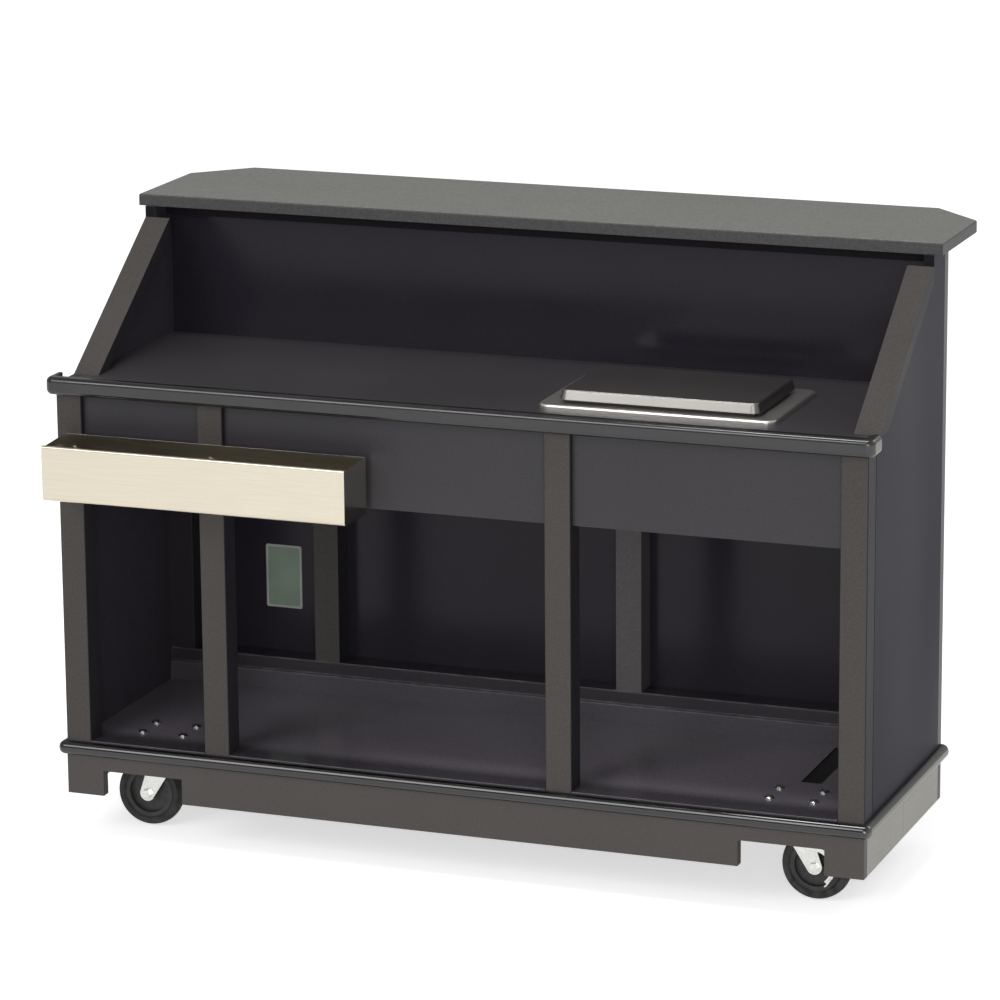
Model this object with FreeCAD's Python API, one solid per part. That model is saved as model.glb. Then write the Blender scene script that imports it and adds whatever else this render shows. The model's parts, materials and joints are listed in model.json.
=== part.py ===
import FreeCAD, Part
import math
import os

from FreeCAD import Vector

# Portable bar: open cabinet on swivel casters, worktop with an ice bin and a speed rail on the
# bartender's side, and a raised bar top on the customer's side.
# Millimetres, +Z up, +X along the bar, the bartender on the -Y side.
# The layout measures y from the front faces of the posts. The finished pieces are then moved, so
# that the origin lies on the floor below the middle of the whole bar.

# Fits shared by all pieces
overrun = 5                     # how far a cutting tool runs past the face that it cuts
seat_gap = 0.3                  # between flat pieces that move past each other
pin_clearance = 0.05            # radial, round a pin that turns
bolt_clearance = 0.3            # radial, round a bolt or screw that doesn't turn
same_place = 0.001              # two heights or directions nearer than this are the same

# Body
body_length = 1496              # over the side panels
body_depth = 487                # from the post fronts to the customer's face
overhang = 14                   # of the platform, the nosing and the bar top at the ends
caster_height = 154             # floor to the platform's underside
platform_thickness = 25
post_height = 642               # platform to the worktop's underside
worktop_thickness = 19
bar_rise = 248                  # worktop to the bar top's underside
panel_thickness = 19
customer_panel_thickness = 22

# Platform, bumper and floor liner
bumper_thickness = 10
bumper_corner = 13
bumper_round = 12
liner_thickness = 3
liner_gap = 0.5                 # round the feet of the posts
slot_width = 38
slot_front = 186
slot_to_rail = 5                # its far end to the rear bottom rail
slot_to_panel = 113

# Skirt
skirt_height = 74
skirt_thickness = 19
skirt_seam = 1.5
notch_width = 155
notch_height = 47
notch_shift = 6                 # notch centre outwards from the caster's swivel axis

# Posts and rails
post_width = 48
post_round = 3
left_bay_width = 224            # clear width between the posts
middle_bay_width = 600
left_rear_post_shift = 41       # inner rear posts to the right of the front ones
right_rear_post_shift = -15
rear_rail_height = 64
rear_rail_toe = 6               # how far the rail's lower part stands forward
rear_rail_toe_height = 39

# Aprons, worktop nosing and wings
apron_height = 165
apron_thickness = 19
apron_setback = 12
nosing_height = 32              # its upper part stands above the worktop as a lip
nosing_depth = 18
nosing_return = 30              # length of the nosing along the ends
nosing_round = 9
wing_foot = 75                  # front of the wing rails' feet, behind the post fronts
wing_rail_thickness = 24
wing_reveal = 20                # dark gap between a wing rail and the bar top
wing_setback = 4                # wing rail's top end behind the bar top's front edge

# Bar top with its cleat and brackets
bar_top_thickness = 22
bar_top_depth = 318
bar_top_lap = 89                # from its front edge to the customer's face
bar_top_chamfer = 93
bar_top_round = 4
cleat_width = 22
bracket_width = 30
bracket_thickness = 5
bracket_reach = 200
bracket_drop = 150
bracket_inset = 210             # outer brackets from the ends of the body
bracket_curve = 18              # how far the web's free edge is hollowed

# Ice bin, its jacket and its lid
bin_length = 430                # over the flange
bin_width = 260
bin_to_side = 190               # flange to the right-hand end of the body
bin_setback = 82                # flange behind the post fronts
bin_wall = 1.5
flange_height = 8
flange_corner = 22
flange_round = 4
tub_length = 340
tub_width = 195
tub_depth = 150
tub_corner = 32
tub_floor_round = 14
cutout_gap = 4
jacket_thickness = 20
lid_length = 364
lid_width = 220
lid_height = 23
lid_corner = 16
lid_round = 4
lid_draft = 5                   # how far its sides lean in
lid_seal_height = 6             # lowest part of the lid, a narrower seal under its pan
lid_seal_inset = 9

# Drain
spigot_radius = 13
spigot_bore = 10.5
spigot_length = 36
valve_radius = 16
valve_height = 40
valve_nut_flats = 30
valve_nut_height = 10
stem_boss_radius = 8
stem_boss_length = 8
stem_radius = 4
stem_cap_radius = 6.5
stem_cap_length = 2.5
lever_thickness = 4
lever_length = 75
lever_width = 14
lever_eye_radius = 9

# Speed rail
rail_length = 575
rail_depth = 100
rail_back_height = 101
rail_front_height = 96
rail_drop = 7                   # below the aprons
rail_inset = 17                 # from the left-hand end of the body
rail_wall = 1.5
rail_bend = 8
rail_bead_radius = 4
screw_radius = 2.5
screw_head_radius = 6
screw_head_height = 3
screw_length = 30
screw_pitch = 44
screw_edge = 15                 # left-hand screws from the rail's end

# Caster plate and swivel
caster_inset_x = 154            # swivel axis from the ends of the body
caster_front_inset = 110        # swivel axis from the post fronts
caster_rear_inset = 124         # swivel axis from the customer's face
plate_length = 105
plate_width = 85
plate_thickness = 3.5
plate_corner = 8
bolt_spacing_x = 80
bolt_spacing_y = 60
bolt_radius = 4
bolt_head_radius = 9
bolt_head_height = 4
bolt_head_bevel = 2
bolt_tail = 3                   # past the nut
rear_screw_reach = 18           # into the platform, from below
nut_flats = 13
nut_height = 6.5
race_radius = 26
race_height = 4
king_pin_radius = 6
king_pin_head_radius = 11
king_pin_head_height = 3

# Caster fork, axle and wheel
wheel_headroom = 29             # tyre to the platform's underside
wheel_trail = 39                # axle behind the swivel axis
tread_width = 32
tread_crown = 4.5
tyre_depth = 16.5
tyre_bevel = 3
fork_sheet = 3
fork_side_gap = 2.5
crown_drop = 12                 # crown's top below the platform
crown_radius = 31
crown_rim_gap = 2               # crown's rim outside the race
crown_lip_gap = 0.7             # crown's rim below the plate
leg_top_width = 56
leg_end_radius = 14
leg_end_back = 20               # degrees about the axle, where the leg's round end starts
leg_end_tip = -70
leg_end_front = 205
axle_radius = 5
axle_flats = 15
axle_head_height = 6
rim_depth = 8
rim_width = 27
hub_radius = 13
web_thickness = 9

# Brake lever on the front right caster
brake_sheet = 2.5
brake_pivot_x = 24              # behind the swivel axis
brake_pivot_rise = 43.5         # above the axle
brake_pivot_radius = 4
brake_pivot_head_radius = 6.5
brake_pivot_head_height = 2
brake_eye_radius = 10
brake_arm_radius = 34           # of the curved arm about the axle
brake_arm_width = 8
brake_arm_start = 112           # degrees, from the level line behind the axle
brake_arm_end = -50
shoe_gap = 4                    # shoe to the tread when the brake is off
shoe_start = 57                 # degrees
shoe_end = 71
shoe_reach_share = 0.75         # of the tread's width that the shoe covers
toe_length = 14
toe_span = 22                   # degrees of the arm that the toe tab takes up

# Levels and lines that follow from the sizes above
half_body = body_length / 2
half_length = half_body + overhang
platform_top = caster_height + platform_thickness
worktop_underside = platform_top + post_height
worktop_top = worktop_underside + worktop_thickness
nosing_top = worktop_underside + nosing_height
bar_underside = worktop_top + bar_rise
inner_x = half_body - panel_thickness
panel_front = body_depth - customer_panel_thickness
rear_post_front = panel_front - post_width
rear_rail_front = rear_post_front - rear_rail_toe
bar_front = body_depth - bar_top_lap
bar_rear = bar_front + bar_top_depth
left_post_x = -half_body + post_width + left_bay_width
right_post_x = left_post_x + post_width + middle_bay_width
post_lefts = (-half_body, left_post_x, right_post_x, half_body - post_width)
rear_post_lefts = (
    -inner_x,
    left_post_x + left_rear_post_shift,
    right_post_x + right_rear_post_shift,
    inner_x - post_width,
)
wing_top_y = bar_front - wing_setback
wing_slope = (bar_rise - wing_reveal) / (wing_top_y - wing_foot)
wing_rail_rise = wing_rail_thickness * math.hypot(1, wing_slope)
caster_x = half_body - caster_inset_x
caster_front_y = caster_front_inset
caster_rear_y = body_depth - caster_rear_inset
bin_x = half_body - bin_to_side - bin_length / 2
bin_y = bin_setback + bin_width / 2
flange_top = worktop_top + flange_height
tub_floor = flange_top - tub_depth
rail_x = -half_body + rail_inset
rail_z = worktop_underside - apron_height - rail_drop
leg_inner = tread_width / 2 + fork_side_gap
leg_outer = leg_inner + fork_sheet
crown_top = caster_height - crown_drop
rear_screw_tip = caster_height + rear_screw_reach
wheel_radius = (caster_height - wheel_headroom) / 2
brake_pivot_z = wheel_radius + brake_pivot_rise
origin_y = (bar_rear - rail_depth) / 2

along_x = Vector(1, 0, 0)
along_y = Vector(0, 1, 0)
along_z = Vector(0, 0, 1)


# Basic shapes

def block(x0, x1, y0, y1, z0, z1):
    return Part.makeBox(x1 - x0, y1 - y0, z1 - z0, Vector(x0, y0, z0))


def edges_along(shape, direction):
    straight = [edge for edge in shape.Edges if isinstance(edge.Curve, Part.Line)]
    return [edge for edge in straight if edge.Curve.Direction.cross(direction).Length < same_place]


def edges_at_height(shape, height):
    level = [edge for edge in shape.Edges if edge.BoundBox.ZLength < same_place]
    return [edge for edge in level if abs(edge.BoundBox.Center.z - height) < same_place]


def rounded_block(x0, x1, y0, y1, z0, z1, corner):
    solid = block(x0, x1, y0, y1, z0, z1)
    return solid.makeFillet(corner, edges_along(solid, along_z))


def centred_block(x, y, length, width, z0, z1, corner):
    return rounded_block(x - length / 2, x + length / 2, y - width / 2, y + width / 2, z0, z1, corner)


def side_prism(points, x0, x1):
    """Outline of (y, z) points, carried from x0 to x1."""
    corners = [Vector(x0, y, z) for y, z in points]
    return Part.Face(Part.makePolygon(corners + corners[:1])).extrude(along_x * (x1 - x0))


def post_rod(radius, z0, z1, x=0, y=0):
    return Part.makeCylinder(radius, z1 - z0, Vector(x, y, z0))


def cross_rod(radius, y0, y1, x=0, z=0):
    return Part.makeCylinder(radius, y1 - y0, Vector(x, y0, z), along_y)


def hexagon(flats, base, axis, height):
    """Hexagonal prism that stands on base and points along axis."""
    corner_radius = flats / math.sqrt(3)
    corners = [Vector(corner_radius, 0, 0)]
    for turn in range(1, 6):
        corners.append(Vector(corner_radius * math.cos(turn * math.pi / 3),
                              corner_radius * math.sin(turn * math.pi / 3), 0))
    prism = Part.Face(Part.makePolygon(corners + corners[:1])).extrude(along_z * height)
    prism.Placement = FreeCAD.Placement(base, FreeCAD.Rotation(along_z, axis))
    return prism


def side_arc(radius, degrees):
    """Point on a circle about the wheel's axle, in the plane of the wheel."""
    angle = math.radians(degrees)
    return Vector(wheel_trail + radius * math.cos(angle), 0, wheel_radius + radius * math.sin(angle))


def side_band(inner, outer, start, end, y0, y1):
    """Curved strip about the wheel's axle between two angles."""
    middle = (start + end) / 2
    edges = [
        Part.Arc(side_arc(outer, start), side_arc(outer, middle), side_arc(outer, end)).toShape(),
        Part.LineSegment(side_arc(outer, end), side_arc(inner, end)).toShape(),
        Part.Arc(side_arc(inner, end), side_arc(inner, middle), side_arc(inner, start)).toShape(),
        Part.LineSegment(side_arc(inner, start), side_arc(outer, start)).toShape(),
    ]
    band = Part.Face(Part.Wire(edges)).extrude(along_y * (y1 - y0))
    band.translate(along_y * y0)
    return band


# Platform and skirt

def caster_bolt_places(row_y):
    """Places (x, y) of the bolts of the two casters in a row."""
    places = []
    for x in (-caster_x, caster_x):
        for y in (row_y - bolt_spacing_y / 2, row_y + bolt_spacing_y / 2):
            places += [(x - bolt_spacing_x / 2, y), (x + bolt_spacing_x / 2, y)]
    return places


def bolt_holes(row_y, z0, z1):
    holes = [post_rod(bolt_radius + bolt_clearance, z0, z1, x, y) for x, y in caster_bolt_places(row_y)]
    return Part.makeCompound(holes)


def platform_outline(inset, z0, z1):
    return block(-half_length + inset, half_length - inset,
                 -overhang + inset, body_depth + overhang - inset, z0, z1)


def base_platform():
    board = platform_outline(bumper_thickness, caster_height, platform_top)
    board = board.cut(bolt_holes(caster_front_y, caster_height - overrun, platform_top + overrun))
    return board.cut(bolt_holes(caster_rear_y, caster_height - overrun, rear_screw_tip + bolt_clearance))


def platform_bumper():
    strip = platform_outline(0, caster_height, platform_top)
    strip = strip.makeFillet(bumper_corner, edges_along(strip, along_z))
    rims = edges_at_height(strip, caster_height) + edges_at_height(strip, platform_top)
    strip = strip.makeFillet(bumper_round, rims)
    return strip.cut(platform_outline(bumper_thickness, caster_height - overrun, platform_top + overrun))


def floor_liner():
    top = platform_top + liner_thickness
    low = platform_top - overrun
    high = top + overrun
    sheet = block(-inner_x, inner_x, 0, rear_rail_front, platform_top, top)
    slot_x = inner_x - slot_to_panel
    slot = block(slot_x - slot_width, slot_x, slot_front, rear_rail_front - slot_to_rail, low, high)
    sheet = sheet.cut(slot)
    for left in post_lefts:
        sheet = sheet.cut(block(left - liner_gap, left + post_width + liner_gap,
                                -overrun, post_width + liner_gap, low, high))
    return sheet.cut(bolt_holes(caster_front_y, low, high))


def front_skirt():
    bottom = caster_height - skirt_height
    board = block(-half_body, half_body, 0, skirt_thickness, bottom, caster_height)
    for side in (-1, 1):
        centre = side * (caster_x + notch_shift)
        board = board.cut(block(centre - notch_width / 2, centre + notch_width / 2, -overrun,
                                skirt_thickness + overrun, bottom - overrun, bottom + notch_height))
    return board


def rear_skirt():
    return block(-half_body, half_body, body_depth - skirt_thickness, body_depth,
                 caster_height - skirt_height, caster_height)


def side_skirt(side, rear):
    """One half of a side skirt: the seam lies at the middle of the depth."""
    middle = body_depth / 2
    y0 = middle + skirt_seam / 2 if rear else skirt_thickness
    y1 = body_depth - skirt_thickness if rear else middle - skirt_seam / 2
    x0 = half_body - skirt_thickness if side > 0 else -half_body
    return block(x0, x0 + skirt_thickness, y0, y1, caster_height - skirt_height, caster_height)


# Cabinet

def front_post(left):
    return rounded_block(left, left + post_width, 0, post_width, platform_top, worktop_underside,
                         post_round)


def rail_screw_places():
    """x of the two columns of speed rail screws and z of the two rows."""
    columns = (rail_x + screw_edge, left_post_x + post_width / 2)
    middle = rail_z + rail_back_height / 2
    return [(x, middle + row * screw_pitch / 2) for x in columns for row in (-1, 1)]


def drilled_post(left):
    """Front post with pilot holes for the speed rail's screws."""
    post = front_post(left)
    for x, z in rail_screw_places():
        post = post.cut(cross_rod(screw_radius + bolt_clearance, -overrun, screw_length + bolt_clearance,
                                  x, z))
    return post


def rear_post(left):
    return block(left, left + post_width, rear_post_front, panel_front,
                 platform_top + rear_rail_height, worktop_underside)


def rear_bottom_rail():
    rail = block(-inner_x, inner_x, rear_post_front, panel_front,
                 platform_top, platform_top + rear_rail_height)
    toe = block(-inner_x, inner_x, rear_rail_front, rear_post_front,
                platform_top, platform_top + rear_rail_toe_height)
    return rail.fuse(toe).removeSplitter()


wing_top_z = worktop_top + bar_rise - wing_reveal
wing_heel = wing_foot + wing_rail_rise / wing_slope


def side_panel(side):
    outline = [
        (post_width, platform_top),
        (post_width, worktop_top),
        (wing_heel, worktop_top),
        (wing_top_y, wing_top_z - wing_rail_rise),
        (wing_top_y, bar_underside),
        (panel_front, bar_underside),
        (panel_front, platform_top),
    ]
    x0 = inner_x if side > 0 else -half_body
    return side_prism(outline, x0, x0 + panel_thickness)


def wing_rail(side):
    """Cap on a side panel's slanted edge. Its foot stands on the worktop."""
    outline = [
        (wing_foot, worktop_top),
        (wing_top_y, wing_top_z),
        (wing_top_y, wing_top_z - wing_rail_rise),
        (wing_heel, worktop_top),
    ]
    x0 = half_body - post_width if side > 0 else -half_body
    return side_prism(outline, x0, x0 + post_width)


def customer_panel():
    return block(-half_body, half_body, panel_front, body_depth, platform_top, bar_underside)


def apron(bay):
    return block(post_lefts[bay] + post_width, post_lefts[bay + 1], apron_setback,
                 apron_setback + apron_thickness, worktop_underside - apron_height, worktop_underside)


# Worktop and bar top

def tub_outline(grow, z0, z1):
    """Ice bin's tub, grown all round by one distance."""
    return centred_block(bin_x, bin_y, tub_length + 2 * grow, tub_width + 2 * grow, z0, z1,
                         tub_corner + grow)


def worktop():
    board = block(-inner_x, inner_x, 0, panel_front, worktop_underside, worktop_top)
    front = block(-half_body, half_body, 0, post_width, worktop_underside, worktop_top)
    board = board.fuse(front).removeSplitter()
    return board.cut(tub_outline(bin_wall + cutout_gap, worktop_underside - overrun, worktop_top + overrun))


def worktop_nosing():
    """Edging round the worktop's front, with a lip that keeps spills in."""
    strip = block(-half_length, half_length, -nosing_depth, nosing_return, worktop_underside, nosing_top)
    corners = [edge for edge in edges_along(strip, along_z) if edge.BoundBox.YMin < 0]
    strip = strip.makeFillet(overhang, corners)
    rims = edges_at_height(strip, worktop_underside) + edges_at_height(strip, nosing_top)
    outer = [edge for edge in rims if edge.BoundBox.Center.y < nosing_return]
    strip = strip.makeFillet(nosing_round, outer)
    return strip.cut(block(-half_body, half_body, 0, nosing_return + overrun,
                           worktop_underside - overrun, nosing_top + overrun))


def bar_top():
    outline = [
        (-half_length, bar_front),
        (half_length, bar_front),
        (half_length, bar_rear - bar_top_chamfer),
        (half_length - bar_top_chamfer, bar_rear),
        (-half_length + bar_top_chamfer, bar_rear),
        (-half_length, bar_rear - bar_top_chamfer),
    ]
    corners = [Vector(x, y, bar_underside) for x, y in outline]
    board = Part.Face(Part.makePolygon(corners + corners[:1])).extrude(along_z * bar_top_thickness)
    return board.makeFillet(bar_top_round, edges_at_height(board, bar_underside + bar_top_thickness))


def bar_top_cleat():
    return block(-inner_x, inner_x, panel_front - cleat_width, panel_front,
                 bar_underside - cleat_width, bar_underside)


def bar_top_brackets():
    """Three steel brackets on the customer panel, each an angle with a hollowed web."""
    wall = body_depth + bracket_thickness
    shelf = bar_underside - bracket_thickness
    tip = Vector(0, body_depth + bracket_reach, shelf)
    foot = Vector(0, wall, bar_underside - bracket_drop)
    inner = Vector(0, wall, shelf)
    hollow = (tip + foot) * (1 / 2)
    hollow = hollow + (inner - hollow).normalize() * bracket_curve
    edges = [
        Part.LineSegment(inner, tip).toShape(),
        Part.Arc(tip, hollow, foot).toShape(),
        Part.LineSegment(foot, inner).toShape(),
    ]
    brackets = []
    for x in (-half_body + bracket_inset, 0, half_body - bracket_inset):
        web = Part.Face(Part.Wire(edges)).extrude(along_x * bracket_thickness)
        web.translate(along_x * (x - bracket_thickness / 2))
        x0 = x - bracket_width / 2
        plate = block(x0, x0 + bracket_width, body_depth, wall, bar_underside - bracket_drop, bar_underside)
        arm = block(x0, x0 + bracket_width, wall, body_depth + bracket_reach, shelf, bar_underside)
        brackets.append(plate.fuse([arm, web]).removeSplitter())
    return Part.makeCompound(brackets)


# Ice bin

def tub(grow):
    """Closed form of the tub below the flange's top, with a rounded floor."""
    solid = tub_outline(grow, tub_floor - grow, flange_top)
    return solid.makeFillet(tub_floor_round + grow, edges_at_height(solid, tub_floor - grow))


def ice_bin_liner():
    flange = centred_block(bin_x, bin_y, bin_length, bin_width, worktop_top, flange_top, flange_corner)
    flange = flange.makeFillet(flange_round, edges_at_height(flange, flange_top))
    hollow = centred_block(bin_x, bin_y, bin_length - 2 * bin_wall, bin_width - 2 * bin_wall,
                           worktop_top - overrun, flange_top - bin_wall, flange_corner - bin_wall)
    outside = tub(bin_wall)
    shell = flange.fuse(outside).cut(hollow.cut(outside)).cut(tub(0))
    spigot = post_rod(spigot_radius, tub_floor - bin_wall - spigot_length, tub_floor, bin_x, bin_y)
    drain = post_rod(spigot_bore, tub_floor - bin_wall - spigot_length - overrun, tub_floor + overrun,
                     bin_x, bin_y)
    return shell.fuse(spigot).cut(drain).removeSplitter()


def ice_bin_jacket():
    floor = tub_floor - bin_wall - jacket_thickness
    foam = tub_outline(bin_wall + jacket_thickness, floor, worktop_underside)
    space = tub(bin_wall + seat_gap)
    drain = post_rod(spigot_radius + seat_gap, floor - overrun, tub_floor, bin_x, bin_y)
    return foam.cut(space).cut(drain)


def lid_form(inset, z0, z1):
    return centred_block(bin_x, bin_y, lid_length - 2 * inset, lid_width - 2 * inset, z0, z1,
                         lid_corner - inset)


def lid_pan(z0, z1):
    """Block whose sides lean in towards its top."""
    low = lid_form(0, z0, z1)
    high = lid_form(lid_draft, z0, z1)
    base = [face for face in low.Faces if face.BoundBox.ZMax < z0 + same_place]
    top = [face for face in high.Faces if face.BoundBox.ZMin > z1 - same_place]
    return Part.makeLoft([base[0].OuterWire, top[0].OuterWire], True, True)


def ice_bin_lid():
    """Shallow pan, upside down, on a narrower seal that stands on the flange."""
    base = flange_top + seat_gap
    rim = base + lid_seal_height
    pan = lid_pan(rim, base + lid_height)
    pan = pan.makeFillet(lid_round, edges_at_height(pan, base + lid_height))
    seal = lid_form(lid_seal_inset, base, rim)
    hollow = lid_form(lid_seal_inset + bin_wall, base - overrun, base + lid_height - bin_wall)
    return pan.fuse(seal).cut(hollow).removeSplitter()


# Drain valve

valve_top = tub_floor - bin_wall - spigot_length
stem_z = valve_top - valve_height / 2
boss_y = -valve_radius - stem_boss_length
lever_y = boss_y - seat_gap - lever_thickness


def drain_valve_body():
    bottom = valve_top - valve_height
    body = post_rod(valve_radius, bottom, valve_top)
    for z in (bottom, valve_top - valve_nut_height):
        body = body.fuse(hexagon(valve_nut_flats, Vector(0, 0, z), along_z, valve_nut_height))
    cap_y = lever_y - seat_gap - stem_cap_length
    stem = [
        cross_rod(stem_boss_radius, boss_y, 0, 0, stem_z),
        cross_rod(stem_radius, cap_y, 0, 0, stem_z),
        cross_rod(stem_cap_radius, cap_y, cap_y + stem_cap_length, 0, stem_z),
    ]
    body = body.fuse(stem).cut(post_rod(spigot_bore, bottom - overrun, valve_top + overrun))
    body.translate(Vector(bin_x, bin_y, 0))
    return body.removeSplitter()


def drain_valve_lever():
    """Flat handle, level when the valve is shut."""
    y1 = lever_y + lever_thickness
    eye = cross_rod(lever_eye_radius, lever_y, y1, 0, stem_z)
    arm = block(0, lever_length, lever_y, y1, stem_z - lever_width / 2, stem_z + lever_width / 2)
    end = cross_rod(lever_width / 2, lever_y, y1, lever_length, stem_z)
    bore = cross_rod(stem_radius + pin_clearance, lever_y - overrun, y1 + overrun, 0, stem_z)
    lever = eye.fuse([arm, end]).cut(bore)
    lever.translate(Vector(bin_x, bin_y, 0))
    return lever.removeSplitter()


# Speed rail

def speed_rail():
    x1 = rail_x + rail_length
    trough = block(rail_x, x1, -rail_depth, 0, rail_z, rail_z + rail_back_height)
    low = [edge for edge in edges_along(trough, along_x) if edge.BoundBox.ZMax < rail_z + rail_wall]
    trough = trough.makeFillet(rail_bend, low)
    space = block(rail_x + rail_wall, x1 - rail_wall, -rail_depth + rail_wall, -rail_wall,
                  rail_z + rail_wall, rail_z + rail_back_height + overrun)
    low = [edge for edge in edges_along(space, along_x) if edge.BoundBox.ZMax < rail_z + 2 * rail_wall]
    trough = trough.cut(space.makeFillet(rail_bend - rail_wall, low))
    slope = [
        (-rail_depth - overrun, rail_z + rail_front_height),
        (-rail_depth + rail_wall, rail_z + rail_front_height),
        (-rail_wall, rail_z + rail_back_height),
        (-rail_wall, rail_z + rail_back_height + overrun),
        (-rail_depth - overrun, rail_z + rail_back_height + overrun),
    ]
    trough = trough.cut(side_prism(slope, rail_x - overrun, x1 + overrun))
    bead = Part.makeCylinder(rail_bead_radius, rail_length,
                             Vector(rail_x, -rail_depth + rail_bead_radius, rail_z + rail_front_height), along_x)
    trough = trough.fuse(bead)
    for x, z in rail_screw_places():
        trough = trough.cut(cross_rod(screw_radius + bolt_clearance, -rail_wall - overrun, overrun, x, z))
    return trough.removeSplitter()


def speed_rail_screws():
    screws = []
    for x, z in rail_screw_places():
        shank = cross_rod(screw_radius, -rail_wall, screw_length, x, z)
        head = cross_rod(screw_head_radius, -rail_wall - screw_head_height, -rail_wall, x, z)
        head = head.makeChamfer(screw_head_height / 2, [head.Edges[0]])
        screws.append(shank.fuse(head))
    return Part.makeCompound(screws)


# Casters: each is made about its swivel axis with the wheel towards +X, then turned and placed

def caster_bolts():
    """Front bolts with low heads on the floor liner and nuts under the plates; rear screws from below."""
    head_base = platform_top + liner_thickness
    nut_base = caster_height - plate_thickness - nut_height
    pieces = []
    for x, y in caster_bolt_places(caster_front_y):
        shank = post_rod(bolt_radius, nut_base - bolt_tail, head_base, x, y)
        head = post_rod(bolt_head_radius, head_base, head_base + bolt_head_height, x, y)
        head = head.makeChamfer(bolt_head_bevel, edges_at_height(head, head_base + bolt_head_height))
        nut = hexagon(nut_flats, Vector(x, y, nut_base), along_z, nut_height)
        nut = nut.cut(post_rod(bolt_radius + bolt_clearance / 2, nut_base - overrun,
                               nut_base + nut_height + overrun, x, y))
        pieces += [shank.fuse(head), nut]
    for x, y in caster_bolt_places(caster_rear_y):
        shank = post_rod(bolt_radius, nut_base, rear_screw_tip, x, y)
        pieces.append(shank.fuse(hexagon(nut_flats, Vector(x, y, nut_base), along_z, nut_height)))
    return Part.makeCompound(pieces)


def caster_plate():
    """Top plate with the fixed bearing race and the king pin that carries the fork."""
    underside = caster_height - plate_thickness
    plate = centred_block(0, 0, plate_length, plate_width, underside, caster_height, plate_corner)
    head_top = crown_top - fork_sheet - seat_gap
    race = post_rod(race_radius, underside - race_height, underside)
    pin = post_rod(king_pin_radius, head_top, underside)
    head = post_rod(king_pin_head_radius, head_top - king_pin_head_height, head_top)
    plate = plate.fuse([race, pin, head])
    for x in (-bolt_spacing_x / 2, bolt_spacing_x / 2):
        for y in (-bolt_spacing_y / 2, bolt_spacing_y / 2):
            plate = plate.cut(post_rod(bolt_radius + bolt_clearance, underside - overrun,
                                       caster_height + overrun, x, y))
    return plate.removeSplitter()


def fork_leg():
    """Tapered leg in the plane of the wheel, with a round end about the axle."""
    top_front = Vector(-leg_top_width / 2, 0, crown_top)
    top_back = Vector(leg_top_width / 2, 0, crown_top)
    back = side_arc(leg_end_radius, leg_end_back)
    front = side_arc(leg_end_radius, leg_end_front)
    edges = [
        Part.LineSegment(top_front, top_back).toShape(),
        Part.LineSegment(top_back, back).toShape(),
        Part.Arc(back, side_arc(leg_end_radius, leg_end_tip), front).toShape(),
        Part.LineSegment(front, top_front).toShape(),
    ]
    return Part.Face(Part.Wire(edges)).extrude(along_y * fork_sheet)


def caster_fork(braked):
    crown = post_rod(crown_radius, crown_top - fork_sheet, crown_top)
    lip = caster_height - plate_thickness - crown_lip_gap
    rim = post_rod(crown_radius, crown_top, lip)
    rim = rim.cut(post_rod(race_radius + crown_rim_gap, crown_top - overrun, lip + overrun))
    fork = crown.fuse(rim)
    for y in (-leg_outer, leg_inner):
        leg = fork_leg()
        leg.translate(along_y * y)
        fork = fork.fuse(leg)
    if braked:
        head_y = -leg_outer - 2 * seat_gap - brake_sheet
        pivot = cross_rod(brake_pivot_radius, head_y, -leg_outer, brake_pivot_x, brake_pivot_z)
        head = cross_rod(brake_pivot_head_radius, head_y - brake_pivot_head_height, head_y,
                         brake_pivot_x, brake_pivot_z)
        fork = fork.fuse([pivot, head])
    fork = fork.cut(post_rod(king_pin_radius + pin_clearance, crown_top - fork_sheet - overrun,
                             crown_top + overrun))
    axle_hole = cross_rod(axle_radius + bolt_clearance, -leg_outer - overrun, leg_outer + overrun,
                          wheel_trail, wheel_radius)
    return fork.cut(axle_hole).removeSplitter()


def caster_axle():
    """Axle bolt with its hexagonal head and nut outside the fork's legs."""
    rod = cross_rod(axle_radius, -leg_outer - axle_head_height, leg_outer, wheel_trail, wheel_radius)
    for y in (-leg_outer - axle_head_height, leg_outer):
        end = hexagon(axle_flats, Vector(wheel_trail, y, wheel_radius), along_y, axle_head_height)
        rod = rod.fuse(end)
    return rod.removeSplitter()


def spun_about_axle(edges):
    """Profile of (radius, across) edges, turned about the wheel's axle."""
    solid = Part.Face(Part.Wire(edges)).revolve(Vector(0, 0, 0), along_y, 360)
    solid.translate(Vector(wheel_trail, 0, wheel_radius))
    return solid


def ring_profile(points):
    corners = [Vector(radius, across, 0) for radius, across in points]
    return Part.makePolygon(corners + corners[:1]).Edges


def caster_tyre():
    inner = wheel_radius - tyre_depth
    shoulder = wheel_radius - tread_crown
    half = tread_width / 2
    seat = Vector(inner, half - tyre_bevel, 0)
    low = Vector(inner + tyre_bevel, half, 0)
    high = Vector(shoulder, half, 0)
    across = [Vector(point.x, -point.y, 0) for point in (high, low, seat)]
    edges = [
        Part.LineSegment(seat, low).toShape(),
        Part.LineSegment(low, high).toShape(),
        Part.Arc(high, Vector(wheel_radius, 0, 0), across[0]).toShape(),
        Part.LineSegment(across[0], across[1]).toShape(),
        Part.LineSegment(across[1], across[2]).toShape(),
        Part.LineSegment(across[2], seat).toShape(),
    ]
    return spun_about_axle(edges)


def caster_hub():
    """Wheel core: bored boss, thin web and the rim that the tyre grips."""
    rim = wheel_radius - tyre_depth - seat_gap / 2
    boss = leg_inner - seat_gap
    half = [
        (axle_radius + pin_clearance, boss),
        (hub_radius, boss),
        (hub_radius, web_thickness / 2),
        (rim - rim_depth, web_thickness / 2),
        (rim - rim_depth, rim_width / 2),
        (rim, rim_width / 2),
    ]
    return spun_about_axle(ring_profile(half + [(radius, -across) for radius, across in reversed(half)]))


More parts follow.
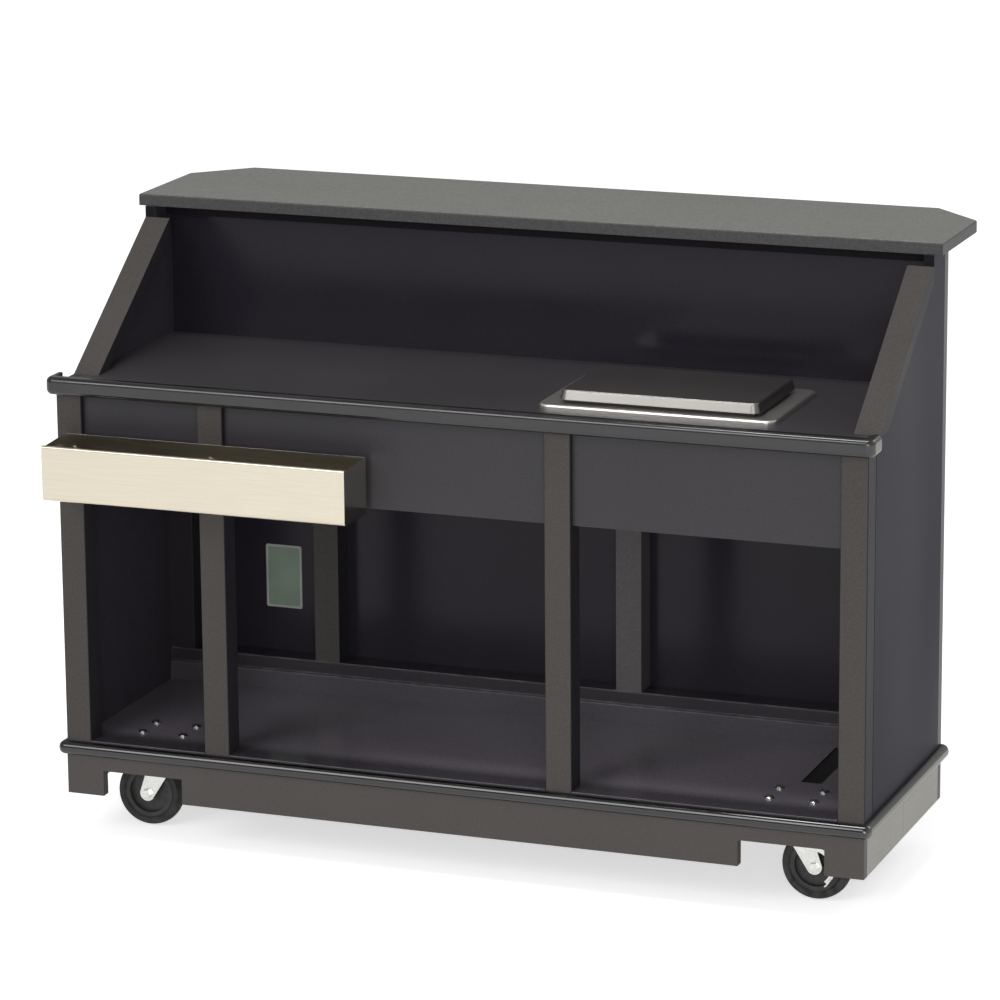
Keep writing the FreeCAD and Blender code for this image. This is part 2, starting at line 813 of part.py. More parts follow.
def brake_lever():
    """Pressed lever on the fork's outer face, with a shoe over the tread and a toe tab."""
    y1 = -leg_outer - seat_gap
    y0 = y1 - brake_sheet
    eye = cross_rod(brake_eye_radius, y0, y1, brake_pivot_x, brake_pivot_z)
    half_arm = brake_arm_width / 2
    arm = side_band(brake_arm_radius - half_arm, brake_arm_radius + half_arm,
                    brake_arm_end, brake_arm_start, y0, y1)
    shoe_inner = wheel_radius + shoe_gap
    shoe_outer = shoe_inner + brake_sheet
    shoe_tip = (shoe_reach_share - 1 / 2) * tread_width
    shoe = side_band(shoe_inner, shoe_outer, shoe_start, shoe_end, y0, shoe_tip)
    strap = Part.makePolygon([
        Vector(brake_pivot_x, y0, brake_pivot_z - brake_eye_radius),
        side_arc(shoe_inner, shoe_start) + along_y * y0,
        side_arc(shoe_outer, shoe_start) + along_y * y0,
        side_arc(shoe_outer, shoe_end) + along_y * y0,
        Vector(brake_pivot_x, y0, brake_pivot_z + brake_eye_radius),
        Vector(brake_pivot_x, y0, brake_pivot_z - brake_eye_radius),
    ])
    strap = Part.Face(strap).extrude(along_y * brake_sheet)
    toe = side_band(brake_arm_radius + half_arm - brake_sheet, brake_arm_radius + half_arm,
                    brake_arm_end, brake_arm_end + toe_span, y0 - toe_length, y1)
    lever = eye.fuse([arm, strap, shoe, toe])
    bore = cross_rod(brake_pivot_radius + pin_clearance, y0 - overrun, y1 + overrun,
                     brake_pivot_x, brake_pivot_z)
    return lever.cut(bore).removeSplitter()


def placed(shape, x, y):
    """Caster piece at its place, with its wheel on the outer side."""
    if x < 0:
        shape.rotate(Vector(0, 0, 0), along_z, 180)
    shape.translate(Vector(x, y, 0))
    return shape


# All pieces by name

pieces = {
    "base_platform": base_platform(),
    "platform_bumper": platform_bumper(),
    "floor_liner": floor_liner(),
    "front_skirt": front_skirt(),
    "rear_skirt": rear_skirt(),
    "rear_bottom_rail": rear_bottom_rail(),
    "customer_panel": customer_panel(),
    "worktop": worktop(),
    "worktop_nosing": worktop_nosing(),
    "bar_top": bar_top(),
    "bar_top_cleat": bar_top_cleat(),
    "bar_top_brackets": bar_top_brackets(),
    "ice_bin_liner": ice_bin_liner(),
    "ice_bin_jacket": ice_bin_jacket(),
    "ice_bin_lid": ice_bin_lid(),
    "drain_valve_body": drain_valve_body(),
    "drain_valve_lever": drain_valve_lever(),
    "speed_rail": speed_rail(),
    "speed_rail_screws": speed_rail_screws(),
    "caster_bolts": caster_bolts(),
    "left_front_post": drilled_post(post_lefts[0]),
    "left_middle_post": drilled_post(post_lefts[1]),
    "right_middle_post": front_post(post_lefts[2]),
    "right_front_post": front_post(post_lefts[3]),
}
for name, left in zip(("left", "left_middle", "right_middle", "right"), rear_post_lefts):
    pieces[name + "_rear_post"] = rear_post(left)
for bay, name in enumerate(("left_apron", "middle_apron", "right_apron")):
    pieces[name] = apron(bay)
for name, side in (("left", -1), ("right", 1)):
    pieces[name + "_side_panel"] = side_panel(side)
    pieces[name + "_wing_rail"] = wing_rail(side)
    pieces[name + "_skirt_front"] = side_skirt(side, False)
    pieces[name + "_skirt_rear"] = side_skirt(side, True)
    for row, y in (("front", caster_front_y), ("rear", caster_rear_y)):
        caster = row + "_" + name + "_caster_"
        braked = row == "front" and side > 0
        pieces[caster + "plate"] = placed(caster_plate(), side * caster_x, y)
        pieces[caster + "fork"] = placed(caster_fork(braked), side * caster_x, y)
        pieces[caster + "axle"] = placed(caster_axle(), side * caster_x, y)
        pieces[caster + "hub"] = placed(caster_hub(), side * caster_x, y)
        pieces[caster + "tyre"] = placed(caster_tyre(), side * caster_x, y)
        if braked:
            pieces[caster + "brake_lever"] = placed(brake_lever(), side * caster_x, y)

os.makedirs("parts", exist_ok=True)
for name, shape in pieces.items():
    shape.translate(along_y * -origin_y)
    shape.exportStep("parts/" + name + ".step")
    print(name, "solids", len(shape.Solids), "valid", shape.isValid())
print("nodes", len(pieces))
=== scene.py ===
import json
import math

import bmesh
import bpy
from mathutils import Matrix, Vector


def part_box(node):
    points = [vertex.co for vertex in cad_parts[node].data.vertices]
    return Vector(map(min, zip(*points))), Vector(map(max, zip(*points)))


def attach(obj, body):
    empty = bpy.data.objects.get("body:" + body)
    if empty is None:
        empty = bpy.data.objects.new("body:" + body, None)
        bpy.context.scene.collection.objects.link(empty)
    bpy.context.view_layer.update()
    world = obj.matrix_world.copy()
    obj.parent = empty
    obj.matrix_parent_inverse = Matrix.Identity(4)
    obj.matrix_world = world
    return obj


# Looks of the portable bar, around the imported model. Lengths are in metres.
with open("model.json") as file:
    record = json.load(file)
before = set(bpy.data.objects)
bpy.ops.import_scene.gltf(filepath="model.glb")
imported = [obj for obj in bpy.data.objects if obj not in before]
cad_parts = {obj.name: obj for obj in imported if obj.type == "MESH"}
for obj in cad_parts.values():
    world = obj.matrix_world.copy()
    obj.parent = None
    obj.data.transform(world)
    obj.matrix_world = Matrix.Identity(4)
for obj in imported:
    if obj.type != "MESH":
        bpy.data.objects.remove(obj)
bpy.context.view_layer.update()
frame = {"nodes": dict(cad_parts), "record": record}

# Camera
camera_place = (2.840, -7.571, 2.655)
camera_azimuth = 20.724         # degrees, from straight in front of the bartender's side
camera_elevation = 14.173       # degrees
camera_roll = -0.478            # degrees
camera_lens = 167.9             # mm
camera_sensor = 36.0            # mm
camera_reach = 200.0

# Studio
floor_size = 80.0
floor_white = 0.90
floor_roughness = 0.9
floor_glow = 0.60               # white that the camera sees, added to the lit floor
floor_mirror_glow = 0.28        # white that reflections show, added to the lit floor
sky_level = 0.45                # light of the room on the object
sky_mirror = 0.38               # brightness of the room in reflections
lamp_aim = (0.0, 0.0, 0.6)
lamps = (                       # name, place, size, power in watts
    ("key", (-2.4, -5.6, 4.2), (3.0, 3.0), 120.0),
    ("fill", (2.6, -6.6, 1.7), (3.0, 2.4), 130.0),
    ("top", (0.0, -0.9, 5.2), (2.0, 1.0), 85.0),
    ("back", (3.6, 5.4, 4.2), (3.0, 2.4), 70.0),
)

# Pieces that change colour along an axis: painted light and shade, and the lid's seal. A shade is a share of
# the floor's grey.
lid_seal_and_gap_shade_height = 0.006         # lowest part of the ice bin's lid, a black seal that also paints the shade of the gap under the lid
upstand_height = 0.039          # lower part of the rear rail, paler: painted light on its step
upstand_blend = 0.001
upstand_shade = 0.45
front_painted_shade_depth = 0.030        # painted shade: dark band along the front of the floor
front_painted_shade_blend = 0.055
front_painted_shade_level = 0.32
rail_sheet_depth = 0.009        # front sheet of the speed rail, with its bead and bend, in a warmer tone: painted warm reflection
rail_sheet_blend = 0.003

# Label on the inner face of the customer panel: a blank plate
label_x = (-0.552, -0.480)
label_z = (0.326, 0.447)
label_thickness = 0.0012
label_corner = 0.004
label_corner_steps = 6
label_border = 0.004
label_rim_width = label_thickness / 3
label_rim_depth = label_thickness / 4
label_field_depth = label_thickness / 3


# Colours and nodes

noise_middle = 0.5
sharp_range = 0.15              # half of the range of noise that is stretched over the whole effect
soft_range = 0.25
edge_samples = 4
edge_start, edge_full = 0.995, 0.90     # cosine of the turn at an edge, where its wear and painted highlight start and are full
painted_facing_start, painted_facing_full = 0.60, 0.80      # share of the normal along an axis, where a colour of painted light and shade starts and is full
painted_end_start, painted_end_full = 0.30, 0.80        # the same for the ends of rounded edging, which are paler as painted light


def linear(red, green, blue):
    """Linear colour from display values of 0 to 255, by the sRGB curve."""
    values = [value / 255 for value in (red, green, blue)]
    return [value / 12.92 if value <= 0.04045 else ((value + 0.055) / 1.055) ** 2.4
            for value in values] + [1.0]


def scaled(colour, factor):
    return [channel * factor for channel in colour[:3]] + [1.0]


def add(tree, kind, inputs, **settings):
    """New node. An input that is another node's output is linked, and any other value is set."""
    made = tree.nodes.new("ShaderNode" + kind)
    for name, value in settings.items():
        setattr(made, name, value)
    for name, value in inputs.items():
        if isinstance(value, bpy.types.NodeSocket):
            tree.links.new(value, made.inputs[name])
        else:
            made.inputs[name].default_value = value
    return made


def new_material(name):
    material = bpy.data.materials.new(name)
    material.use_nodes = True
    tree = material.node_tree
    return material, tree, tree.nodes["Principled BSDF"]


def object_place(tree):
    return add(tree, "TexCoord", {}).outputs["Object"]


def noise(tree, place, scale, detail, stretch=(1.0, 1.0, 1.0)):
    """Noise with features of about 1 / scale metres, longer where stretch is small."""
    moved = add(tree, "Mapping", {"Vector": place, "Scale": stretch}).outputs["Vector"]
    return add(tree, "TexNoise", {"Vector": moved, "Scale": scale, "Detail": detail}).outputs["Fac"]


def spread(tree, value, low, high, half_range=sharp_range):
    """Noise value stretched over a range from low to high."""
    made = add(tree, "MapRange", {"Value": value, "From Min": noise_middle - half_range,
                                  "From Max": noise_middle + half_range, "To Min": low, "To Max": high})
    return made.outputs["Result"]


def mix_colour(tree, factor, first, second):
    """Colour between two colours. The numbers are those of the Mix node's colour sockets."""
    made = tree.nodes.new("ShaderNodeMix")
    made.data_type = "RGBA"
    for socket, value in ((made.inputs[0], factor), (made.inputs[6], first), (made.inputs[7], second)):
        if isinstance(value, bpy.types.NodeSocket):
            tree.links.new(value, socket)
        else:
            socket.default_value = value
    return made.outputs[2]


def varied(tree, factor, colour, tint):
    """Colour between a darker and a paler share of itself."""
    darkest, palest = tint
    return mix_colour(tree, factor, scaled(colour, darkest), scaled(colour, palest))


def rounded_edge(tree, radius):
    """Normal that rounds sharp edges."""
    return add(tree, "Bevel", {"Radius": radius}, samples=edge_samples).outputs["Normal"]


def edge_mask(tree, rounded):
    """1 along the edges that the rounded normal turns, and 0 on flat faces."""
    flat = add(tree, "NewGeometry", {}).outputs["Normal"]
    along = add(tree, "VectorMath", {0: rounded, 1: flat}, operation="DOT_PRODUCT").outputs["Value"]
    return add(tree, "MapRange", {"Value": along, "From Min": edge_start,
                                  "From Max": edge_full}).outputs["Result"]


def bump(tree, height, distance, normal):
    return add(tree, "Bump", {"Height": height, "Distance": distance, "Normal": normal,
                              "Strength": 1.0}).outputs["Normal"]


def facing(tree, axis, start, full):
    """0 to 1 as the surface turns from across the axis to along it, either way."""
    normal = add(tree, "NewGeometry", {}).outputs["Normal"]
    along = add(tree, "SeparateXYZ", {"Vector": normal}).outputs[axis]
    either_way = add(tree, "Math", {0: along}, operation="ABSOLUTE").outputs["Value"]
    return add(tree, "MapRange", {"Value": either_way, "From Min": start, "From Max": full}).outputs["Result"]


def shaded(tree, place, body, axis, start, end, other):
    """Colour that turns into another one from start to end along an axis."""
    along = add(tree, "SeparateXYZ", {"Vector": place}).outputs[axis]
    near = add(tree, "MapRange", {"Value": along, "From Min": start, "From Max": end},
               interpolation_type="SMOOTHSTEP").outputs["Result"]
    return mix_colour(tree, near, body, other)


def wire(tree, surface, body, rough, normal):
    """Leads colour, roughness and normal into the shader."""
    tree.links.new(body, surface.inputs["Base Color"])
    tree.links.new(rough, surface.inputs["Roughness"])
    tree.links.new(normal, surface.inputs["Normal"])


# Kinds of material. A tint is the darkest and the palest share of a colour, and a gloss is the lowest and the
# highest step from a roughness.

pebble_scale, pebble_detail = 850.0, 4.0
rough_pebble, fine_pebble, smooth_pebble = 0.00006, 0.00003, 0.00002
fleck_scale, fleck_detail = 260.0, 5.0
smear_scale, smear_detail = 3.2, 1.5
smear_stretch = (1.0, 1.0, 0.45)
smear_tint = (0.93, 1.07)
smear_gloss = (-0.05, 0.08)
# Paler edges of laminate: partly wear, partly painted highlight
wear_and_highlight_scale, wear_and_highlight_detail = 40.0, 6.0
wear_and_highlight_least, wear_and_highlight_most = 0.25, 0.95


def laminate(name, colour, roughness, specular, edge_wear_and_highlight_lift=1.6, edge_width=0.0012, fleck=0.10,
             pebble=rough_pebble, painted_facing_light=None, shade=None):
    """Board with a laminate skin: fine pebble, slight flecks, hand smears and paler edges, partly wear and
    partly painted highlight.
    With turned, which is (axis, colour), faces that look along the axis have that colour: painted light and
    shade.
    With shade, which is (axis, start, end, colour), it takes that colour from start to end: painted light and
    shade.
    """
    material, tree, surface = new_material(name)
    place = object_place(tree)
    rounded = rounded_edge(tree, edge_width)
    grain = noise(tree, place, pebble_scale, pebble_detail)
    flecks = spread(tree, noise(tree, place, fleck_scale, fleck_detail), 1.0 - fleck, 1.0 + fleck)
    smears = noise(tree, place, smear_scale, smear_detail, smear_stretch)
    body = varied(tree, spread(tree, smears, 0.0, 1.0, soft_range), colour, smear_tint)
    if painted_facing_light:
        axis, other = painted_facing_light
        body = mix_colour(tree, facing(tree, axis, painted_facing_start, painted_facing_full), body, other)
    if shade:
        body = shaded(tree, place, body, *shade)
    wear_and_highlight_patches = spread(tree, noise(tree, place, wear_and_highlight_scale, wear_and_highlight_detail), wear_and_highlight_least, wear_and_highlight_most)
    edge_wear_and_highlight = add(tree, "Math", {0: edge_mask(tree, rounded), 1: wear_and_highlight_patches}, operation="MULTIPLY").outputs["Value"]
    body = mix_colour(tree, edge_wear_and_highlight, body, scaled(colour, edge_wear_and_highlight_lift))
    flecked = add(tree, "VectorMath", {0: body, 1: flecks}, operation="MULTIPLY").outputs["Vector"]
    rough = spread(tree, smears, roughness + smear_gloss[0], roughness + smear_gloss[1], soft_range)
    wire(tree, surface, flecked, rough, bump(tree, grain, pebble, rounded))
    surface.inputs["Specular IOR Level"].default_value = specular
    return material


brush_scale, brush_detail = 900.0, 3.0
brush_stretch = (0.012, 1.0, 1.0)       # lines along the bar
brush_depth = 0.00003
brush_tint = (0.91, 1.05)
brush_gloss = (-0.04, 0.04)
mark_scale, mark_detail = 9.0, 5.0
mark_gloss = 0.02
steel_edge = 0.0006
# black of the seal, partly painted shade of the gap under the lid
seal_and_gap_shade_black = linear(26, 26, 27)
seal_roughness = 0.55


def brushed_steel(name, colour, roughness, seal_and_gap_shade_top=None, shade=None):
    """Stainless sheet with brush lines along the bar and faint finger marks.
    Below the height seal_and_gap_shade_top, if it has one, the piece is a black rubber seal, which also
    paints the shade of a gap.
    With shade, which is (axis, start, end, colour), it takes that colour from start to end, used for a
    painted warm reflection.
    """
    material, tree, surface = new_material(name)
    place = object_place(tree)
    lines = noise(tree, place, brush_scale, brush_detail, brush_stretch)
    marks = noise(tree, place, mark_scale, mark_detail)

    def brushed(tone):
        return varied(tree, spread(tree, lines, 0.0, 1.0, soft_range), tone, brush_tint)

    body = brushed(colour)
    if shade:
        axis, start, end, other = shade
        body = shaded(tree, place, body, axis, start, end, brushed(other))
    streaks = spread(tree, lines, roughness + brush_gloss[0], roughness + brush_gloss[1], soft_range)
    rough = add(tree, "Math", {0: streaks, 1: spread(tree, marks, 0.0, mark_gloss)},
                operation="ADD").outputs["Value"]
    surface.inputs["Metallic"].default_value = 1.0
    if seal_and_gap_shade_top:
        height = add(tree, "SeparateXYZ", {"Vector": place}).outputs["Z"]
        steel = add(tree, "Math", {0: height, 1: seal_and_gap_shade_top}, operation="GREATER_THAN").outputs["Value"]
        body = mix_colour(tree, steel, seal_and_gap_shade_black, body)
        rough = add(tree, "MapRange", {"Value": steel, "To Min": seal_roughness,
                                       "To Max": rough}).outputs["Result"]
        tree.links.new(steel, surface.inputs["Metallic"])
    wire(tree, surface, body, rough, bump(tree, lines, brush_depth, rounded_edge(tree, steel_edge)))
    return material


crystal_detail = 4.0
crystal_depth = 0.00004
crystal_tint = (0.88, 1.05)
crystal_gloss = (-0.06, 0.10)
grime_scale, grime_detail = 55.0, 6.0
grime_range = 0.22
grime_most = 0.20
grime_shade = 0.45
plate_edge = 0.0005


def plated_metal(name, colour, roughness, crystal_scale):
    """Zinc plate, brass or the like: crystal mottling and a little grime in patches."""
    material, tree, surface = new_material(name)
    place = object_place(tree)
    crystal = noise(tree, place, crystal_scale, crystal_detail)
    grime = spread(tree, noise(tree, place, grime_scale, grime_detail), 0.0, grime_most, grime_range)
    body = varied(tree, spread(tree, crystal, 0.0, 1.0), colour, crystal_tint)
    body = mix_colour(tree, grime, body, scaled(colour, grime_shade))
    rough = spread(tree, crystal, roughness + crystal_gloss[0], roughness + crystal_gloss[1])
    wire(tree, surface, body, rough, bump(tree, crystal, crystal_depth, rounded_edge(tree, plate_edge)))
    surface.inputs["Metallic"].default_value = 1.0
    return material


grain_detail = 4.0
patch_scale, patch_detail = 14.0, 5.0
patch_tint = (0.90, 1.10)
patch_gloss = (-0.06, 0.08)
dust_scale, dust_detail = 70.0, 6.0
dust_colour = (0.22, 0.21, 0.20, 1.0)
moulded_edge = 0.0008


def moulded(name, colour, roughness, specular, grain_scale, grain_depth, dust=0.0, painted_end_light=None):
    """Vinyl, rubber, moulded plastic, paint or foam: fine skin texture, with dust in patches.
    Faces that look along the bar take painted_end_light, if there is one: painted light on the ends.
    """
    material, tree, surface = new_material(name)
    place = object_place(tree)
    grain = noise(tree, place, grain_scale, grain_detail)
    patches = noise(tree, place, patch_scale, patch_detail)
    body = varied(tree, spread(tree, patches, 0.0, 1.0), colour, patch_tint)
    if dust:
        dusty = [(own + pale) / 2 for own, pale in zip(colour, dust_colour)]
        share = spread(tree, noise(tree, place, dust_scale, dust_detail), 0.0, dust, soft_range)
        body = mix_colour(tree, share, body, dusty)
    if painted_end_light:
        body = mix_colour(tree, facing(tree, "X", painted_end_start, painted_end_full), body, painted_end_light)
    rough = spread(tree, patches, roughness + patch_gloss[0], roughness + patch_gloss[1])
    wire(tree, surface, body, rough, bump(tree, grain, grain_depth, rounded_edge(tree, moulded_edge)))
    surface.inputs["Specular IOR Level"].default_value = specular
    return material


# Materials of the slots

floor_grey = linear(112, 106, 115)
# painted shade: faces of the black panels that look along the depth, in shadow under the overhang
painted_edge_shade = linear(28, 26, 30)
steel_grey = linear(211, 207, 198)
rail_painted_warm_reflection = linear(217, 209, 191)
floor_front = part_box("floor_liner")[0].y
front_painted_shade_end = floor_front + front_painted_shade_depth
upstand_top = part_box("rear_bottom_rail")[0].z + upstand_height
rail_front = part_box("speed_rail")[0].y
rail_sheet_end = rail_front + rail_sheet_depth

materials = {
    "panel_laminate": laminate("black_laminate", linear(45, 43, 53), roughness=0.36, specular=0.03,
                               pebble=fine_pebble, painted_facing_light=("Y", painted_edge_shade)),
    # faces of the frame that look along the bar are darker: painted shade on the sides of the posts
    "frame_laminate": laminate("charcoal_laminate", linear(74, 71, 69), roughness=0.42, specular=0.08,
                               painted_facing_light=("X", linear(46, 44, 49))),
    "apron_laminate": laminate("apron_laminate", linear(54, 52, 55), roughness=0.38, specular=0.30),
    "worktop_laminate": laminate("worktop_laminate", linear(60, 57, 60), roughness=0.34, specular=0.40,
                                 pebble=fine_pebble),
    # faces that look up and down are paler than the upright edges: painted reflection of the bright room on
    # the top
    "bar_top_laminate": laminate("bar_top_laminate", linear(60, 59, 59), roughness=0.42, specular=0.40,
                                 fleck=0.22, painted_facing_light=("Z", linear(108, 109, 104))),
    "platform_board": laminate("platform_laminate", linear(34, 33, 34), roughness=0.40, specular=0.40),
    # the floor darkens towards its front edge: painted shade
    "floor_laminate": laminate("floor_laminate", floor_grey, roughness=0.18, specular=0.50,
                               pebble=smooth_pebble,
                               shade=("Y", front_painted_shade_end + front_painted_shade_blend, front_painted_shade_end,
                                      scaled(floor_grey, front_painted_shade_level))),
    "skirt_laminate": laminate("skirt_laminate", linear(70, 65, 63), roughness=0.40, specular=0.40),
    # the ends of the edging are paler: painted light from the side
    "edge_vinyl": moulded("edge_vinyl", linear(22, 21, 22), roughness=0.16, specular=0.75,
                          grain_scale=420.0, grain_depth=0.00002, painted_end_light=linear(64, 63, 60)),
    "stainless_steel": brushed_steel("stainless_steel", steel_grey, roughness=0.20),
    "insulating_foam": moulded("insulating_foam", linear(226, 214, 186), roughness=0.80, specular=0.20,
                               grain_scale=500.0, grain_depth=0.0003),
    "valve_brass": plated_metal("valve_brass", linear(206, 172, 96), roughness=0.28, crystal_scale=240.0),
    "lever_paint": moulded("lever_dip", linear(168, 34, 26), roughness=0.32, specular=0.50,
                           grain_scale=300.0, grain_depth=0.00005),
    "bracket_paint": moulded("powder_coat", linear(38, 38, 39), roughness=0.45, specular=0.45,
                             grain_scale=700.0, grain_depth=0.00012),
    "zinc_plate": plated_metal("zinc_plate", linear(236, 236, 232), roughness=0.26, crystal_scale=180.0),
    "wheel_core": moulded("wheel_core", linear(40, 40, 41), roughness=0.45, specular=0.40,
                          grain_scale=500.0, grain_depth=0.00006, dust=0.35),
    "tyre_rubber": moulded("tyre_rubber", linear(30, 30, 31), roughness=0.62, specular=0.30,
                           grain_scale=380.0, grain_depth=0.00012, dust=0.5),
}

# Nodes with a finish of their own within their slot; several are paler and darker copies that paint light and
# shade
# side skirts: a paler, glossier laminate than the front skirts, partly a finish of their own and partly
# painted light falling from the right
painted_lit_skirt = laminate("painted_lit_skirt_laminate", linear(141, 137, 125), roughness=0.34, specular=1.0,
                       pebble=fine_pebble)
own_finishes_and_painted_light = {
    "left_skirt_front": painted_lit_skirt,
    "left_skirt_rear": painted_lit_skirt,
    "right_skirt_front": painted_lit_skirt,
    "right_skirt_rear": painted_lit_skirt,
    "customer_panel": laminate("customer_laminate", linear(39, 35, 43), roughness=0.18, specular=0.16,
                               pebble=smooth_pebble),
    # paler than the other black panels: painted light on its inner face, which stands in shade
    "left_side_panel": laminate("painted_lit_black_laminate", linear(62, 58, 65), roughness=0.36, specular=0.03,
                                pebble=fine_pebble, painted_facing_light=("Y", painted_edge_shade)),
    # a darker copy of the frame laminate: painted shade, with strongly lifted edges as painted highlights
    "left_rear_post": laminate("painted_shade_laminate", linear(44, 41, 46), roughness=0.34, specular=0.30,
                               edge_wear_and_highlight_lift=3.5),
    # a paler copy of the frame laminate: painted light falling in from the right
    "right_middle_rear_post": laminate("painted_lit_charcoal_laminate", linear(92, 88, 90), roughness=0.42,
                                       specular=0.08),
    # strongly lifted edges are painted highlight lines, and the lower part in dimmed floor grey is painted
    # light on the step
    "rear_bottom_rail": laminate("rear_rail_laminate", linear(50, 47, 52), roughness=0.34, specular=0.30,
                                 edge_wear_and_highlight_lift=6.0, edge_width=0.005,
                                 shade=("Z", upstand_top, upstand_top - upstand_blend,
                                        scaled(floor_grey, upstand_shade))),
    # the cleat takes the dark of painted shade, as the shadow under the bar top
    "bar_top_cleat": laminate("painted_shadow_cleat_laminate", painted_edge_shade, roughness=0.36, specular=0.03),
    # the front sheet is warmer than the other walls: painted warm reflection
    "speed_rail": brushed_steel("rail_steel", steel_grey, roughness=0.20,
                                shade=("Y", rail_sheet_end + rail_sheet_blend, rail_sheet_end, rail_painted_warm_reflection)),
    # its ends are paler: painted light from the side
    "platform_bumper": moulded("gloss_vinyl", linear(14, 13, 14), roughness=0.08, specular=0.85,
                               grain_scale=420.0, grain_depth=0.00001, painted_end_light=linear(80, 78, 73)),
    "ice_bin_liner": brushed_steel("bin_steel", linear(240, 236, 230), roughness=0.33),
    # a darker copy of the bin's steel: painted shade for the dark reflections on the lid
    "ice_bin_lid": brushed_steel("painted_shade_lid_steel", linear(154, 151, 147), roughness=0.33,
                                 seal_and_gap_shade_top=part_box("ice_bin_lid")[0].z + lid_seal_and_gap_shade_height),
}


def dress_nodes():
    """Gives each CAD node its own finish, or else the material of its slot."""
    for subpart in frame["record"]["subparts"]:
        node = subpart["node"]
        mesh = frame["nodes"][node].data
        mesh.materials.clear()
        mesh.materials.append(own_finishes_and_painted_light.get(node) or materials[subpart["material_slot"]])


# Label

def rounded_outline(x0, x1, z0, z1, corner, steps):
    """Points (x, z) of a rectangle with round corners."""
    points = []
    for quarter, (x, z) in enumerate(((x1 - corner, z1 - corner), (x0 + corner, z1 - corner),
                                      (x0 + corner, z0 + corner), (x1 - corner, z0 + corner))):
        for step in range(steps + 1):
            angle = math.pi / 2 * (quarter + step / steps)
            points.append((x + corner * math.cos(angle), z + corner * math.sin(angle)))
    return points


def label_paint(name, colour):
    return moulded(name, colour, roughness=0.45, specular=0.40, grain_scale=300.0, grain_depth=0.00004)


def label_plate():
    """Blank plate with a slightly raised border, flat on the customer panel's inner face."""
    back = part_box("customer_panel")[0].y
    front = back - label_thickness
    loops = []
    for inset, y in ((0.0, back), (0.0, front + label_rim_depth), (label_rim_width, front),
                     (label_border, front), (label_border + label_rim_width, front + label_field_depth)):
        outline = rounded_outline(label_x[0] + inset, label_x[1] - inset, label_z[0] + inset,
                                  label_z[1] - inset, label_corner, label_corner_steps)
        loops.append([(x, y, z) for x, z in outline])
    shape = bmesh.new()
    rings = [[shape.verts.new(point) for point in loop] for loop in loops]
    for outer, inner in zip(rings, rings[1:]):
        for here in range(len(outer)):
            after = (here + 1) % len(outer)
            shape.faces.new((outer[here], outer[after], inner[after], inner[here]))
    shape.faces.new(rings[-1]).material_index = 1
    shape.faces.new(reversed(rings[0]))
    bmesh.ops.recalc_face_normals(shape, faces=shape.faces)
    mesh = bpy.data.meshes.new("label_plate")
    shape.to_mesh(mesh)
    shape.free()
    plate = bpy.data.objects.new("label_plate", mesh)
    bpy.context.scene.collection.objects.link(plate)
    mesh.materials.append(label_paint("label_border", linear(164, 166, 162)))
    mesh.materials.append(label_paint("label_field", linear(122, 138, 124)))
    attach(plate, "root")


# Studio

def shown_to(tree, camera, mirrors, others):
    """One value for the camera's own rays, one for rays in mirrors and glass, and one for other rays."""
    path = add(tree, "LightPath", {}).outputs
    reflected = add(tree, "Math", {0: path["Is Glossy Ray"], 1: path["Is Transmission Ray"]},
                    operation="MAXIMUM").outputs["Value"]
    indirect = add(tree, "MapRange", {"Value": reflected, "To Min": others,
                                      "To Max": mirrors}).outputs["Result"]
    return add(tree, "MapRange", {"Value": path["Is Camera Ray"], "To Min": indirect,
                                  "To Max": camera}).outputs["Result"]


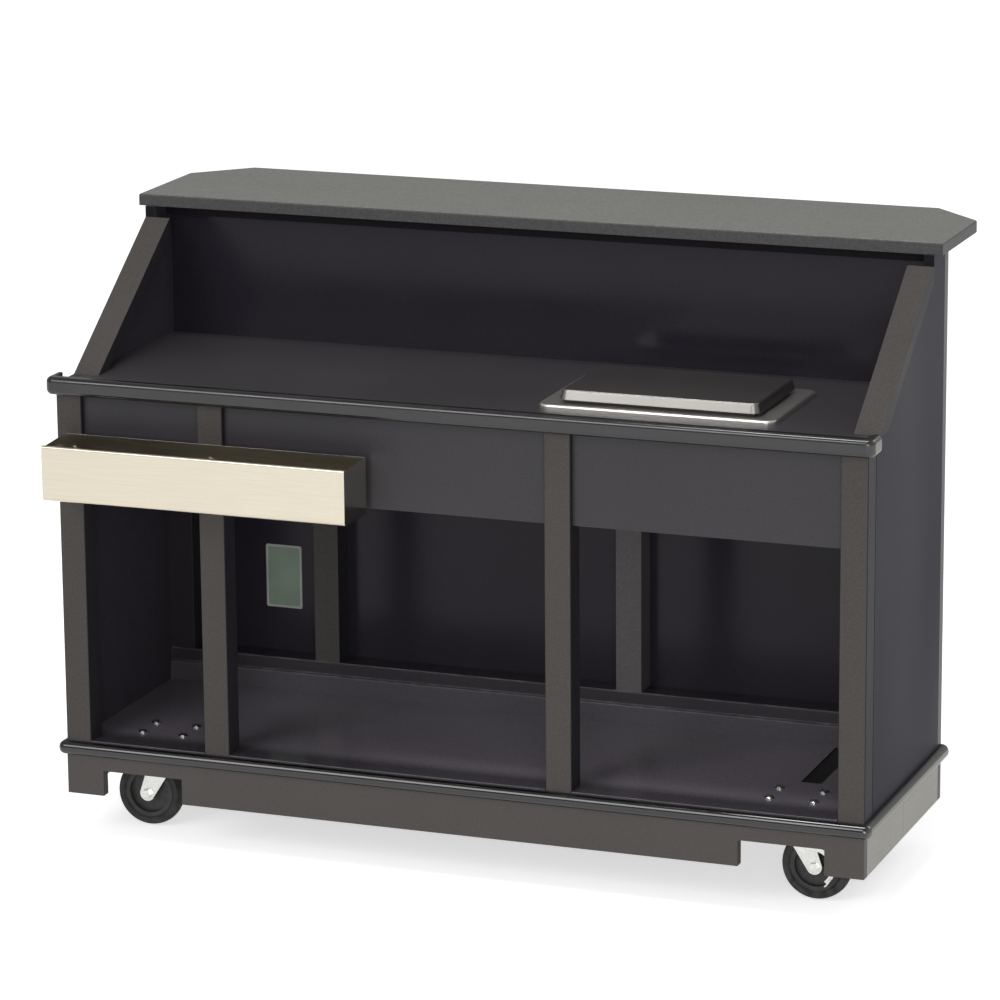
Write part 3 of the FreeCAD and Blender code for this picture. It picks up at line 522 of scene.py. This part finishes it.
def studio_floor():
    mesh = bpy.data.meshes.new("floor")
    half = floor_size / 2
    corners = [(-half, -half, 0), (half, -half, 0), (half, half, 0), (-half, half, 0)]
    mesh.from_pydata(corners, [], [(0, 1, 2, 3)])
    floor = bpy.data.objects.new("floor", mesh)
    bpy.context.scene.collection.objects.link(floor)
    material, tree, surface = new_material("studio_floor")
    surface.inputs["Base Color"].default_value = (floor_white, floor_white, floor_white, 1.0)
    surface.inputs["Roughness"].default_value = floor_roughness
    surface.inputs["Specular IOR Level"].default_value = 0.0
    surface.inputs["Emission Color"].default_value = (1.0, 1.0, 1.0, 1.0)
    tree.links.new(shown_to(tree, floor_glow, floor_mirror_glow, 0.0), surface.inputs["Emission Strength"])
    mesh.materials.append(material)


def studio_sky():
    world = bpy.data.worlds.new("studio")
    world.use_nodes = True
    tree = world.node_tree
    level = shown_to(tree, 1.0, sky_mirror, sky_level)
    tree.links.new(level, tree.nodes["Background"].inputs["Strength"])
    tree.nodes["Background"].inputs["Color"].default_value = (1.0, 1.0, 1.0, 1.0)
    bpy.context.scene.world = world


def soft_box(name, place, size, power):
    data = bpy.data.lights.new(name, "AREA")
    data.shape = "RECTANGLE"
    data.size, data.size_y = size
    data.energy = power
    lamp = bpy.data.objects.new(name, data)
    lamp.location = place
    lamp.rotation_mode = "QUATERNION"
    lamp.rotation_quaternion = (Vector(lamp_aim) - Vector(place)).to_track_quat("-Z", "Y")
    bpy.context.scene.collection.objects.link(lamp)


def photo_camera():
    azimuth = math.radians(camera_azimuth)
    elevation = math.radians(camera_elevation)
    roll = math.radians(camera_roll)
    back = Vector((math.sin(azimuth) * math.cos(elevation), -math.cos(azimuth) * math.cos(elevation),
                   math.sin(elevation)))
    right = Vector((math.cos(azimuth), math.sin(azimuth), 0))
    up = back.cross(right)
    turned_right = right * math.cos(roll) + up * math.sin(roll)
    turned_up = up * math.cos(roll) - right * math.sin(roll)
    data = bpy.data.cameras.new("camera")
    data.lens = camera_lens
    data.sensor_width = camera_sensor
    data.clip_end = camera_reach
    camera = bpy.data.objects.new("camera", data)
    turn = Matrix((turned_right, turned_up, back)).transposed().to_4x4()
    camera.matrix_world = Matrix.Translation(camera_place) @ turn
    bpy.context.scene.collection.objects.link(camera)
    bpy.context.scene.camera = camera


dress_nodes()
label_plate()
studio_floor()
studio_sky()
for lamp_name, lamp_place, lamp_size, lamp_power in lamps:
    soft_box(lamp_name, lamp_place, lamp_size, lamp_power)
photo_camera()
bpy.context.scene.view_settings.view_transform = "Standard"
